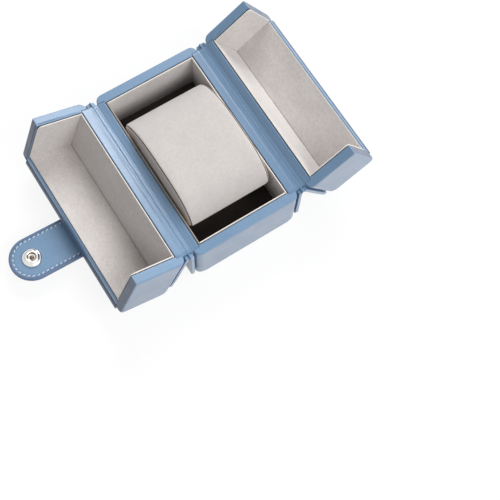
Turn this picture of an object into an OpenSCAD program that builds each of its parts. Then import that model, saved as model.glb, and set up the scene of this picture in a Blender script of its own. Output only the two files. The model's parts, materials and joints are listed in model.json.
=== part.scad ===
// Travel case for one watch, shown open. Boards covered in blue leather make a base and two door lids.
// Each lid is hinged with leather along a long side of the base, and they meet over its middle.
// A strap on the left lid snaps onto the right one. A suede cushion holds the watch.
// The origin is the middle of the underside: +X points to the right lid, +Y along the hinges, +Z up.

/* [Case] */
// Width of the closed case, across both lids
case_w = 70; // [62:0.5:90]
// Length of the case, along its hinges
case_l = 108.4; // [95:0.1:140]
// Height of the seam that the lids close on
base_h = 33; // [28:0.5:45]
// Height of a lid above that seam
lid_h = 36; // [32:0.5:40]
// Gap between the closed lids and the base
seam_gap = 0.4; // [0.3:0.1:0.8]
// Gap between the two closed lids
lid_gap = 1; // [0.6:0.1:2]

/* [Boards] */
// Side walls of the inner box, leather and board together
side_wall_t = 5; // [4:0.1:6.5]
// End walls of the inner box
end_wall_t = 5.6; // [4.5:0.1:7]
// Top boards of the lids
top_board_t = 4.5; // [3:0.1:6]
// Floor board of the base
floor_board_t = 4; // [3:0.1:6]
// Outer cover, a padded leather wrap over the boards
cover_t = 2; // [1.5:0.1:3]
// Suede-covered lining boards
lining_t = 1; // [0.8:0.1:2]
// Gap behind and between the lining boards
lining_gap = 0.2; // [0.1:0.05:0.4]

/* [Edges] */
// Upright corners of the end walls
corner_r = 4.3; // [3:0.1:6]
// Shadow groove between those corners and the cover
corner_groove = 0.8; // [0.4:0.1:1.2]
// Long edges of the end walls, at the top and at the underside
end_edge_r = 3; // [2:0.1:4]
// Rims that meet at the seam
rim_r = 0.9; // [0.4:0.1:1.5]
// Outer long edges of the cover
cover_edge_r = 3.5; // [2.5:0.1:5]
// Distance from the end of the case to the ends of the cover's side panels
side_panel_inset = 1.5; // [1:0.1:2.5]
// Distance from the end of the case to the ends of the cover's top sheets
top_sheet_inset = 4.4; // [3.6:0.1:6]
// Height by which a top sheet stands above the end walls
top_sheet_step = 0.6; // [0.3:0.1:1]
// Free corners of the lining boards
lining_corner_r = 2.5; // [1:0.1:4]

/* [Hinges] */
// Opening of the left lid as stored, in degrees from closed
left_open = 158.4; // [100:0.1:160]
// Opening of the right lid as stored, in degrees from closed
right_open = 148; // [100:0.1:160]
// Leather leaves glued to the rims on both sides of a hinge
leaf_t = 0.4; // [0.3:0.05:0.8]
// Radius of the fold that joins the leaves
fold_r = 0.5; // [0.35:0.05:0.8]
// Gap between the fold and the lid that turns about it
fold_gap = 0.3; // [0.2:0.05:0.5]
// Distance of the hinge line outside the case's side
hinge_offset = 0.15; // [0.1:0.05:0.4]

/* [Strap] */
// Width of the closure strap
strap_w = 25.5; // [18:0.5:32]
// Length of the strap from its root line
strap_l = 52.5; // [49:0.5:56]
// Thickness of each of its two leathers
strap_leather_t = 1.1; // [0.8:0.1:1.6]
// Distance of the root line from the case's side
strap_root = 16.5; // [12:0.5:20]
// Angle of the strap from its lid's top, as stored
strap_angle = 17; // [12:0.5:30]
// Gap between the strap's root and the cover
strap_gap = 0.3; // [0.2:0.05:0.5]
// Tab that holds the strap inside its slot
anchor_t = 1; // [0.6:0.1:1.4]
// Length of the anchor under the cover
anchor_l = 9; // [6:0.5:11]

/* [Snap] */
// Distance of the snap from the strap's tip
snap_tip = 12.5; // [12:0.5:16]
// Radius of the snap's socket
socket_r = 5.4; // [4.5:0.1:7]
// Height of the socket
socket_h = 2.4; // [2:0.1:3]
// Radius of the hole in the socket
socket_hole_r = 2.5; // [2:0.1:3]
// Radius of the stud's head
stud_r = 1.9; // [1.5:0.1:2.1]
// Height of the stud above its flange
stud_h = 1.7; // [1.2:0.1:1.9]
// Radius of the stud's flange
stud_flange_r = 4.6; // [3.5:0.1:6]
// Thickness of the flanges and rivet heads
flange_t = 0.35; // [0.25:0.05:0.6]
// Radius of the rivets' shanks
rivet_r = 1.1; // [0.8:0.1:1.3]
// Radius of the rivets' heads
rivet_head_r = 3.6; // [2.5:0.1:5]

/* [Cushion] */
// Gap between the cushion and the lining on each side
cushion_side_gap = 1.2; // [0.4:0.1:6]
// Length of the cushion, along the case
cushion_l = 69; // [50:1:78]
// Distance of its middle from the case's middle, towards the near end
cushion_shift = 2; // [0:0.5:6]
// Height of its crown above the table
cushion_top = 44; // [36:0.5:50]
// Height of the crisp ends, where the cushion is longest
cushion_waist = 27; // [20:0.5:32]
// Distance that the crown leans towards the near end
cushion_lean = 4; // [0:0.5:6]
// Distance that each end of the foot lies in from the crisp end above it
cushion_taper = 8; // [2:0.5:12]
// Suede cover of the cushion
cushion_suede_t = 1.2; // [0.8:0.1:2]
// Gap under the cushion
cushion_gap = 0.3; // [0.2:0.1:0.6]

/* [Hidden] */
$fn = 48;

// Colours
leather_blue = [0.47, 0.61, 0.76];
cover_blue = [0.42, 0.56, 0.72];
hinge_blue = [0.52, 0.66, 0.8];
suede_grey = [0.76, 0.73, 0.71];
cushion_grey = [0.8, 0.77, 0.74];
foam_white = [0.93, 0.92, 0.88];
nickel = [0.78, 0.78, 0.77];

// Half sizes and levels of the closed case
side_x = case_w / 2;
box_x = side_x - cover_t;
cavity_x = box_x - side_wall_t;
end_y = case_l / 2;
cavity_y = end_y - end_wall_t;
case_h = base_h + lid_h;
base_rim_z = base_h - seam_gap / 2;
lid_rim_z = base_h + seam_gap / 2;
lid_centre_x = -lid_gap / 2;
panel_y = end_y - side_panel_inset;
sheet_y = end_y - top_sheet_inset;
joint_gap = 0.05;
ridge_y = sheet_y + joint_gap;
floor_z = cover_t + floor_board_t;
lid_board_z = case_h - cover_t;
ceiling_z = lid_board_z - top_board_t;
ridge_z = case_h - top_sheet_step;
over = 1;

// Hinges
hinge_x = side_x + hinge_offset;
hinge_z = base_h;
leaf_y = end_y - corner_r;
relief_r = fold_r + fold_gap;

// Linings, from the walls inwards
lining_x = cavity_x - lining_gap;
lining_y = cavity_y - lining_gap;
inner_x = lining_x - lining_t;
inner_y = lining_y - lining_t;
inner_floor_z = floor_z + lining_gap + lining_t;
inner_ceiling_z = ceiling_z - lining_gap - lining_t;
lining_rise = 0.1;

// Strap and snap, in the closed case
snap_reach = strap_l - snap_tip;
strap_t = 2 * strap_leather_t;
root_x = -side_x + strap_root;
root_z = case_h + strap_gap + strap_leather_t;
slot_gap = 0.15;
fold_back = 3;
snap_x = root_x + snap_reach;
hole_gap = 0.1;

// Cushion section
cushion_y = -cushion_shift;
cushion_x = inner_x - cushion_side_gap;
cushion_bottom = inner_floor_z + cushion_gap;
crown_powers = [3, 1.4];
foot_powers = [5, 5];
section_steps = 48;

// Limits at a distance either side of a middle
function around(middle, reach) = [middle - reach, middle + reach];

// Closed lid coordinates of the left lid, turned open about its hinge
module left_lid()
    translate([-hinge_x, 0, hinge_z]) rotate([0, -left_open, 0]) translate([hinge_x, 0, -hinge_z]) children();

// The same for the right lid, which mirrors the left one
module right_lid()
    translate([hinge_x, 0, hinge_z]) rotate([0, right_open, 0]) translate([-hinge_x, 0, -hinge_z])
        mirror([1, 0, 0]) children();

// Block between two corners
module block(x, y, z) translate([x[0], y[0], z[0]]) cube([x[1] - x[0], y[1] - y[0], z[1] - z[0]]);

// Flat outline extruded along X, drawn in Y and Z
module along_x(x) translate([x[0], 0, 0]) rotate([90, 0, 90]) linear_extrude(height = x[1] - x[0]) children();

// Flat outline extruded along Y, drawn in X and Z
module along_y(half_l) rotate([90, 0, 0]) linear_extrude(height = 2 * half_l, center = true) children();

// Rectangle with a radius for each corner: low left, low right, high right, high left
module rounded_rect(x, y, r) {
    polygon([
        [x[0] + r[0], y[0]], [x[1] - r[1], y[0]], [x[1], y[0] + r[1]], [x[1], y[1] - r[2]],
        [x[1] - r[2], y[1]], [x[0] + r[3], y[1]], [x[0], y[1] - r[3]], [x[0], y[0] + r[0]],
    ]);
    centres = [
        [x[0] + r[0], y[0] + r[0]], [x[1] - r[1], y[0] + r[1]],
        [x[1] - r[2], y[1] - r[2]], [x[0] + r[3], y[1] - r[3]],
    ];
    for (i = [0 : 3])
        if (r[i] > 0) translate(centres[i]) circle(r[i]);
}

// ---- Base ----

// Plan of the boxes inside the cover. On a side that meets the cover the end walls are rounded and stand in
// by the groove, from where the hinge leather ends.
module box_plan(x, covered) {
    translate([x[0], -leaf_y]) square([x[1] - x[0], 2 * leaf_y]);
    rounded_rect([x[0] + covered[0] * corner_groove, x[1] - covered[1] * corner_groove], [-end_y, end_y],
        [for (i = [0, 1, 1, 0]) covered[i] * corner_r]);
}

module base_shell() color(leather_blue) difference() {
    intersection() {
        linear_extrude(height = base_rim_z) box_plan([-box_x, box_x], [1, 1]);
        along_x([-box_x, box_x])
            rounded_rect([-end_y, end_y], [top_sheet_step, base_rim_z], [end_edge_r, end_edge_r, rim_r, rim_r]);
    }
    block([-cavity_x, cavity_x], [-cavity_y, cavity_y], [floor_z, base_h]);
    block([-side_x, side_x], [-ridge_y, ridge_y], [0, cover_t]);
    for (side = [-1, 1]) base_leaf_space(side);
}

// Mirrors a piece of the right side to the left where side is -1
module on_side(side) mirror([side < 0 ? 1 : 0, 0, 0]) children();

// Step in the base's rim that a hinge leaf lies in
module base_leaf_space(side) on_side(side)
    block([cavity_x - over, side_x + over], [-leaf_y, leaf_y], [base_rim_z - leaf_t, base_h]);

module base_cover() color(cover_blue) intersection() {
    difference() {
        along_y(panel_y) difference() {
            rounded_rect([-side_x, side_x], [0, base_rim_z], [cover_edge_r, cover_edge_r, 0, 0]);
            translate([-box_x, cover_t]) square([2 * box_x, case_h]);
        }
        for (side = [-1, 1]) {
            base_leaf_space(side);
            hinge_cylinder(side, panel_y + over, fold_r + joint_gap);
        }
    }
    panel_outline(base_h, 0);
}

// Outline of the cover seen from the side: full-length panels, with the sheet shorter where they meet
module panel_outline(seam_z, sheet_z) {
    panel_end_z = sheet_z + (sheet_z > seam_z ? -1 : 1) * (cover_t + end_edge_r);
    low = min(panel_end_z, seam_z);
    high = max(panel_end_z, seam_z);
    shoulder = panel_y - sheet_y;
    along_x([-side_x, side_x]) {
        translate([-panel_y, low]) square([2 * panel_y, high - low]);
        translate([-sheet_y, min(sheet_z, seam_z)]) square([2 * sheet_y, abs(sheet_z - seam_z)]);
        for (end = [-1, 1]) translate([end * sheet_y, panel_end_z]) circle(shoulder);
    }
}

module hinge_cylinder(side, half_l, r)
    translate([side * hinge_x, 0, hinge_z]) rotate([90, 0, 0]) cylinder(r = r, h = 2 * half_l, center = true);

// Leather of a hinge: the leaf glued to the base's rim and the fold along the hinge line
module hinge_leather(side) color(hinge_blue) {
    on_side(side) block([cavity_x, hinge_x], [-leaf_y, leaf_y], [base_rim_z - leaf_t, base_rim_z]);
    hinge_cylinder(side, leaf_y, fold_r);
}

module left_hinge_leather() hinge_leather(-1);
module right_hinge_leather() hinge_leather(1);

module base_lining_long(side) color(suede_grey) on_side(side)
    block([inner_x, lining_x], [-lining_y, lining_y], [floor_z + lining_gap, base_rim_z - lining_rise]);

module base_lining_short(end) color(suede_grey) mirror([0, end < 0 ? 1 : 0, 0])
    block([-inner_x + joint_gap, inner_x - joint_gap], [inner_y, lining_y],
        [floor_z + lining_gap, base_rim_z - lining_rise]);

module base_lining_left() base_lining_long(-1);
module base_lining_right() base_lining_long(1);
module base_lining_front() base_lining_short(-1);
module base_lining_back() base_lining_short(1);

module base_lining_floor() color(suede_grey)
    block([-inner_x + joint_gap, inner_x - joint_gap], [-inner_y + joint_gap, inner_y - joint_gap],
        [floor_z + lining_gap, inner_floor_z]);

// ---- Lids, drawn closed as the left one ----

module lid_shell() color(leather_blue) difference() {
    intersection() {
        translate([0, 0, lid_rim_z]) linear_extrude(height = lid_h) box_plan([-box_x, lid_centre_x], [1, 0]);
        along_x([-box_x, lid_centre_x])
            rounded_rect([-end_y, end_y], [lid_rim_z, ridge_z], [rim_r, rim_r, end_edge_r, end_edge_r]);
    }
    block([-cavity_x, over], [-cavity_y, cavity_y], [base_h, ceiling_z]);
    block([-side_x, over], [-ridge_y, ridge_y], [lid_board_z, case_h + over]);
    lid_leaf_space();
}

// The same step in a lid's rim
module lid_leaf_space()
    block([-side_x - over, over - cavity_x], [-leaf_y, leaf_y], [base_h, lid_rim_z + leaf_t]);

module lid_cover() color(cover_blue) intersection() {
    difference() {
        along_y(panel_y) difference() {
            rounded_rect([-side_x, lid_centre_x], [lid_rim_z, case_h], [0, 0, 0, cover_edge_r]);
            translate([-box_x, 0]) square([box_x + over, lid_board_z]);
        }
        hinge_cylinder(-1, panel_y + over, relief_r);
        lid_leaf_space();
    }
    panel_outline(base_h, case_h);
}

module lid_hinge_leaf() color(hinge_blue) difference() {
    block([-side_x, -cavity_x], [-leaf_y, leaf_y], [lid_rim_z, lid_rim_z + leaf_t]);
    hinge_cylinder(-1, end_y, relief_r);
}

module lid_lining_side() color(suede_grey)
    block([-lining_x, -inner_x], [-lining_y, lining_y], [lid_rim_z + lining_rise, ceiling_z - lining_gap]);

module lid_lining_top() color(suede_grey)
    block([-inner_x + joint_gap, lid_centre_x - lining_rise], [-lining_y, lining_y],
        [inner_ceiling_z, ceiling_z - lining_gap]);

// End board of a lid's lining, with a rounded free corner where the lids meet
module lid_lining_end(end) color(suede_grey) mirror([0, end < 0 ? 1 : 0, 0])
    translate([0, lining_y, 0]) rotate([90, 0, 0]) linear_extrude(height = lining_t)
        rounded_rect([-inner_x + joint_gap, lid_centre_x - lining_rise],
            [lid_rim_z + lining_rise, inner_ceiling_z - joint_gap], [0, lining_corner_r, 0, 0]);

module left_lid_shell() left_lid() lid_shell();
module left_lid_hinge_leaf() left_lid() lid_hinge_leaf();
module left_lid_lining_side() left_lid() lid_lining_side();
module left_lid_lining_top() left_lid() lid_lining_top();
module left_lid_lining_front() left_lid() lid_lining_end(-1);
module left_lid_lining_back() left_lid() lid_lining_end(1);

module right_lid_hinge_leaf() right_lid() lid_hinge_leaf();
module right_lid_lining_side() right_lid() lid_lining_side();
module right_lid_lining_top() right_lid() lid_lining_top();
module right_lid_lining_front() right_lid() lid_lining_end(-1);
module right_lid_lining_back() right_lid() lid_lining_end(1);

// The left cover has a slot for the strap, over the hollow that takes the strap's anchor
module left_lid_cover() left_lid() difference() {
    lid_cover();
    strap_slot();
    anchor_space(slot_gap);
}

module strap_slot() block(around(root_x, anchor_t / 2 + slot_gap), around(0, strap_w / 2 + slot_gap),
    [lid_board_z - over, case_h + over]);

module anchor_space(gap) block([root_x - anchor_l - gap, root_x + anchor_t / 2 + gap],
    around(0, strap_w / 2 + gap), [lid_board_z - over, lid_board_z + anchor_t + gap / 2]);

// The right cover and board carry the snap's stud
module right_lid_cover() right_lid() difference() {
    lid_cover();
    stud_hole(lid_board_z - over, case_h + over);
}

module right_lid_shell() right_lid() difference() {
    lid_shell();
    stud_hole(ceiling_z - over, lid_board_z + over);
}

module stud_hole(low, high)
    translate([-snap_x, 0, low]) cylinder(r = rivet_r + hole_gap, h = high - low);

// ---- Strap ----

// Strap coordinates: the root line is the Y axis, the strap runs along +X and its outside faces +Z
module strap() left_lid() translate([root_x, 0, root_z]) rotate([0, -strap_angle, 0]) children();

// Outline of the strap, with its round end
module strap_outline(start) {
    translate([start, -strap_w / 2]) square([strap_l - strap_w / 2 - start, strap_w]);
    translate([strap_l - strap_w / 2, 0]) circle(strap_w / 2);
}

module strap_anchor() color(leather_blue) left_lid() {
    block([root_x - anchor_l, root_x + anchor_t / 2], around(0, strap_w / 2),
        [lid_board_z + joint_gap, lid_board_z + anchor_t]);
    block(around(root_x, anchor_t / 2), around(0, strap_w / 2), [lid_board_z + joint_gap, case_h]);
}

// The outer leather turns in round the root and lies over the rivet's head
module strap_outer_leather() color(leather_blue) strap() difference() {
    union() {
        linear_extrude(height = strap_leather_t) strap_outline(0);
        translate([0, -strap_w / 2, -strap_leather_t]) cube([fold_back, strap_w, strap_t]);
        rotate([90, 0, 0]) cylinder(r = strap_leather_t, h = strap_w, center = true);
    }
    translate([snap_reach, 0, -over]) cylinder(r = rivet_head_r + hole_gap, h = over + flange_t + hole_gap);
}

module strap_inner_leather() color(cover_blue) strap() difference() {
    translate([0, 0, -strap_leather_t]) linear_extrude(height = strap_leather_t - joint_gap)
        strap_outline(fold_back + joint_gap);
    translate([snap_reach, 0, -strap_t]) cylinder(r = rivet_r + hole_gap, h = strap_t + over);
}

module snap_socket() color(nickel) strap() translate([snap_reach, 0, -strap_leather_t - socket_h]) difference() {
    union() {
        cylinder(r = socket_r - socket_h / 4, h = socket_h / 4);
        translate([0, 0, socket_h / 4]) cylinder(r = socket_r, h = socket_h * 3 / 4);
    }
    translate([0, 0, -over]) cylinder(r = socket_hole_r, h = socket_h + over - flange_t);
    cylinder(r = rivet_r + hole_gap, h = socket_h + over);
}

module snap_socket_rivet() color(nickel) strap() translate([snap_reach, 0, 0]) {
    cylinder(r = rivet_head_r, h = flange_t);
    translate([0, 0, -strap_leather_t - flange_t]) cylinder(r = rivet_r, h = strap_leather_t + flange_t + joint_gap);
}

// ---- Stud on the right lid, drawn in the left lid's closed coordinates ----

module snap_stud() color(nickel) right_lid() translate([-snap_x, 0, case_h + joint_gap]) difference() {
    union() {
        cylinder(r = stud_flange_r, h = flange_t);
        cylinder(r = stud_r * 0.8, h = flange_t + stud_h);
        translate([0, 0, flange_t + stud_h / 2]) cylinder(r = stud_r, h = stud_h / 2);
    }
    translate([0, 0, -over]) cylinder(r = rivet_r + hole_gap, h = over + flange_t + stud_h / 2);
}

module snap_stud_rivet() color(nickel) right_lid() translate([-snap_x, 0, 0]) {
    translate([0, 0, ceiling_z - lining_gap * 3 / 4]) cylinder(r = rivet_head_r, h = lining_gap / 2);
    translate([0, 0, ceiling_z - lining_gap / 2])
        cylinder(r = rivet_r, h = case_h + flange_t + stud_h / 2 - ceiling_z);
}

// ---- Cushion ----

// Point of the cushion's section at an angle, inset from its outside: a crown that drops to crisp ends, over
// a squarer foot that tapers under them
function section_point(angle, inset) =
    let (up = sin(angle) >= 0, powers = up ? crown_powers : foot_powers,
        rise = (up ? cushion_top - cushion_waist : cushion_waist - cushion_bottom) - inset,
        along = sign(cos(angle)) * pow(abs(cos(angle)), 2 / powers[0]),
        high = sign(sin(angle)) * pow(abs(sin(angle)), 2 / powers[1]),
        half_l = cushion_l / 2 - inset + cushion_taper * min(high, 0))
    [cushion_y + half_l * along - cushion_lean * max(high, 0), cushion_waist + rise * high];

module section(inset)
    polygon([for (i = [0 : section_steps - 1]) section_point(i * 360 / section_steps, inset)]);

module cushion_core() color(foam_white)
    along_x(around(0, cushion_x - cushion_suede_t - joint_gap)) section(cushion_suede_t + joint_gap);

module cushion_band() color(cushion_grey) along_x(around(0, cushion_x)) difference() {
    section(0);
    section(cushion_suede_t);
}

module cushion_side(side) color(cushion_grey) on_side(side)
    along_x([cushion_x - cushion_suede_t, cushion_x - joint_gap]) section(cushion_suede_t + joint_gap);

module cushion_side_left() cushion_side(-1);
module cushion_side_right() cushion_side(1);

base_shell();
base_cover();
base_lining_left();
base_lining_right();
base_lining_front();
base_lining_back();
base_lining_floor();
left_hinge_leather();
right_hinge_leather();
left_lid_shell();
left_lid_cover();
left_lid_hinge_leaf();
left_lid_lining_side();
left_lid_lining_top();
left_lid_lining_front();
left_lid_lining_back();
right_lid_shell();
right_lid_cover();
right_lid_hinge_leaf();
right_lid_lining_side();
right_lid_lining_top();
right_lid_lining_front();
right_lid_lining_back();
strap_anchor();
strap_outer_leather();
strap_inner_leather();
snap_socket();
snap_socket_rivet();
snap_stud();
snap_stud_rivet();
cushion_core();
cushion_band();
cushion_side_left();
cushion_side_right();
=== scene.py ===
"""Looks of the watch travel case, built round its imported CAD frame.

Lengths are in metres. A lid is drawn closed, as the left one, and opened() then puts it where
it rests.
"""
import json
import math

import bmesh
import bpy
from mathutils import Matrix, Vector, kdtree, noise


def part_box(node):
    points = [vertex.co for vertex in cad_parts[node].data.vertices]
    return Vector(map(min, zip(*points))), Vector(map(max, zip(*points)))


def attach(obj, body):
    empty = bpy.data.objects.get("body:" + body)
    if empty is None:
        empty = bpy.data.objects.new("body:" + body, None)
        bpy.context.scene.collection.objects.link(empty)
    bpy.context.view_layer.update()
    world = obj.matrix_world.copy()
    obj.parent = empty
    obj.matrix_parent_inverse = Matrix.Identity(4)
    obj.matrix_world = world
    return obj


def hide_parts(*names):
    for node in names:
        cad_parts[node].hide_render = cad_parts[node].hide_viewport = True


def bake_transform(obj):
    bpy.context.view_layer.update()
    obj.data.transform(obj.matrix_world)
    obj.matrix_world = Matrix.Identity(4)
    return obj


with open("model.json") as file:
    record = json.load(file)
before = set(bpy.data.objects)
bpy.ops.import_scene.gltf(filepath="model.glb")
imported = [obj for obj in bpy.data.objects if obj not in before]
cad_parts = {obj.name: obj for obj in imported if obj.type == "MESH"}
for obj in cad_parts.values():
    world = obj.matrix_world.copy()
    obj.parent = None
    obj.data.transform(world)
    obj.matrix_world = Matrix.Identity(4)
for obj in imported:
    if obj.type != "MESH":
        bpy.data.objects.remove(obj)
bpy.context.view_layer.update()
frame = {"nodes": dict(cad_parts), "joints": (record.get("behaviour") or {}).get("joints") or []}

mm = 0.001
X, Y, Z = range(3)
LEFT, RIGHT = -1, 1
JOINTS = {joint["name"]: joint for joint in frame["joints"]}


def side_name(side):
    return "left" if side == LEFT else "right"


def hinge_joint(side):
    return JOINTS[f"{side_name(side)}_lid_hinge"]


def closing_angle(side):
    """Degrees that a lid turns from where it rests to closed."""
    return hinge_joint(side)["range_deg"][1]


def turned_about_hinge(side, share=1.0):
    """Turns a point of the closed case by a share of the lid's opening."""
    pivot = Vector(hinge_joint(side)["pos_m"])
    turn = Matrix.Rotation(side * share * math.radians(closing_angle(side)), 4, "Y")
    return Matrix.Translation(pivot) @ turn @ Matrix.Translation(-pivot)


def mirrored(side):
    """Left-hand coordinates as they are, or flipped to the right."""
    return Matrix.Scale(-1, 4, (1, 0, 0)) if side == RIGHT else Matrix.Identity(4)


def opened(side):
    """From the closed left lid's coordinates to where that lid, or the right one, rests."""
    return turned_about_hinge(side) @ mirrored(side)


def closed_box(node, side=LEFT):
    """Corners of a lid's node in the closed left lid's coordinates."""
    back = opened(side).inverted()
    points = [back @ vertex.co for vertex in frame["nodes"][node].data.vertices]
    return (Vector([min(p[i] for p in points) for i in range(3)]),
            Vector([max(p[i] for p in points) for i in range(3)]))


# ---- Sizes, from the frame where it has them: X and Y are half lengths, Z are heights ----

shell_low, shell_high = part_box("base_shell")
lid_low, lid_high = closed_box("left_lid_shell")
cover_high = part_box("base_cover")[1]

BOX_X, END_Y, BASE_RIM, RIDGE_LOW = shell_high.x, shell_high.y, shell_high.z, shell_low.z
LID_RIM, FREE_X, RIDGE_Z = lid_low.z, lid_high.x, lid_high.z
SIDE_X, PANEL_Y = cover_high.x, cover_high.y
CASE_H = closed_box("left_lid_cover")[1].z
HINGE_X, _, HINGE_Z = hinge_joint(RIGHT)["pos_m"]
LEAF_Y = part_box("left_hinge_leather")[1].y
# The end walls are narrower than the walls between them
END_X = max(v.co.x for v in frame["nodes"]["base_shell"].data.vertices
            if abs(v.co.y) > LEAF_Y + mm)
LINING_GAP = 0.2 * mm
CAVITY_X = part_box("base_lining_right")[1].x + LINING_GAP
CAVITY_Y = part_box("base_lining_back")[1].y + LINING_GAP
CEILING_Z = closed_box("left_lid_lining_top")[1].z + LINING_GAP
FLOOR_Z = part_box("base_lining_floor")[0].z - LINING_GAP
COVER_T = SIDE_X - BOX_X
LEAF_T = 0.4 * mm
CORNER_R = END_Y - LEAF_Y - 0.05 * mm
END_EDGE_R = 3 * mm
COVER_EDGE_R = 3.5 * mm
SHEET_Y = LEAF_Y - 0.3 * mm


# ---- Camera, light and floor ----

# Solved from measured points of the open and the closed case in the photo
LENS, SENSOR = 68.55, 36
CAMERA_PLACE = (-0.10822, -0.19036, 0.5021)
CAMERA_FORWARD, CAMERA_UP = (0.2047, 0.2525, -0.9457), (0.5005, 0.8033, 0.3228)

FLOOR_REACH = 6
FLOOR_WHITE = (0.82, 0.82, 0.82, 1)
FLOOR_GLOW = 1.07


def srgb(red, green, blue):
    """Linear colour of an sRGB one given in 0 to 255."""
    return [c / 3294.6 if c <= 10 else ((c / 255 + 0.055) / 1.055) ** 2.4
            for c in (red, green, blue)] + [1]


def make_camera():
    data = bpy.data.cameras.new("camera")
    data.lens = LENS
    data.sensor_width = SENSOR
    data.clip_start, data.clip_end = 0.01, 20
    camera = bpy.data.objects.new("camera", data)
    forward = Vector(CAMERA_FORWARD).normalized()
    across = forward.cross(Vector(CAMERA_UP)).normalized()
    above = across.cross(forward)
    turn = Matrix((across, above, -forward)).transposed().to_4x4()
    camera.matrix_world = Matrix.Translation(CAMERA_PLACE) @ turn
    bpy.context.collection.objects.link(camera)
    bpy.context.scene.camera = camera


def area_light(name, place, size, power):
    """A round soft lamp that faces the part."""
    data = bpy.data.lights.new(name, "AREA")
    data.shape, data.size, data.energy = "DISK", size, power
    light = bpy.data.objects.new(name, data)
    light.location = place
    light.rotation_euler = (-Vector(place)).to_track_quat("-Z", "Y").to_euler()
    bpy.context.collection.objects.link(light)


def seen_by(tree, *rays):
    """1 for the kinds of ray that are named, and 0 for the others."""
    path = tree.nodes.new("ShaderNodeLightPath")
    seen = path.outputs[rays[0]]
    for ray in rays[1:]:
        either = tree.nodes.new("ShaderNodeMath")
        either.operation = "MAXIMUM"
        tree.links.new(seen, either.inputs[0])
        tree.links.new(path.outputs[ray], either.inputs[1])
        seen = either.outputs[0]
    return seen


def make_world(strength):
    """White where it is seen, and a weak even light on the part."""
    world = bpy.data.worlds.new("studio")
    bpy.context.scene.world = world
    world.use_nodes = True
    tree = world.node_tree
    background = tree.nodes["Background"]
    background.inputs["Color"].default_value = (1, 1, 1, 1)
    seen = seen_by(tree, "Is Camera Ray", "Is Transmission Ray", "Is Glossy Ray")
    level = tree.nodes.new("ShaderNodeMapRange")
    level.inputs["To Min"].default_value = strength
    level.inputs["To Max"].default_value = 1
    tree.links.new(seen, level.inputs["Value"])
    tree.links.new(level.outputs[0], background.inputs["Strength"])


def make_floor(own_light):
    """White floor: a share of what the camera and reflections see is its own light.

    The rest takes the part's shadow.
    """
    data = bpy.data.meshes.new("floor")
    corners = [(x * FLOOR_REACH, y * FLOOR_REACH, 0)
               for x, y in ((-1, -1), (1, -1), (1, 1), (-1, 1))]
    data.from_pydata(corners, [], [(0, 1, 2, 3)])
    floor = bpy.data.objects.new("floor", data)
    bpy.context.collection.objects.link(floor)
    finish = bpy.data.materials.new("floor_white")
    finish.use_nodes = True
    tree = finish.node_tree
    tree.nodes.clear()
    white = tree.nodes.new("ShaderNodeBsdfDiffuse")
    white.inputs["Color"].default_value = FLOOR_WHITE
    glow = tree.nodes.new("ShaderNodeEmission")
    glow.inputs["Strength"].default_value = FLOOR_GLOW
    share = tree.nodes.new("ShaderNodeMath")
    share.operation = "MULTIPLY"
    share.inputs[1].default_value = own_light
    tree.links.new(seen_by(tree, "Is Camera Ray", "Is Glossy Ray"), share.inputs[0])
    mix = tree.nodes.new("ShaderNodeMixShader")
    for source, target in zip((share, white, glow), mix.inputs):
        tree.links.new(source.outputs[0], target)
    out = tree.nodes.new("ShaderNodeOutputMaterial")
    tree.links.new(mix.outputs[0], out.inputs["Surface"])
    data.materials.append(finish)


make_camera()
make_world(0.295)
make_floor(0.82)
area_light("key", (0.93, 0.98, 1.05), 1.05, 20.5)
area_light("side", (0.80, -1.16, 1.26), 1.1, 15.8)
area_light("front", (-0.10, -1.10, 0.95), 0.8, 3.6)


# ---- Materials ----

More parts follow.
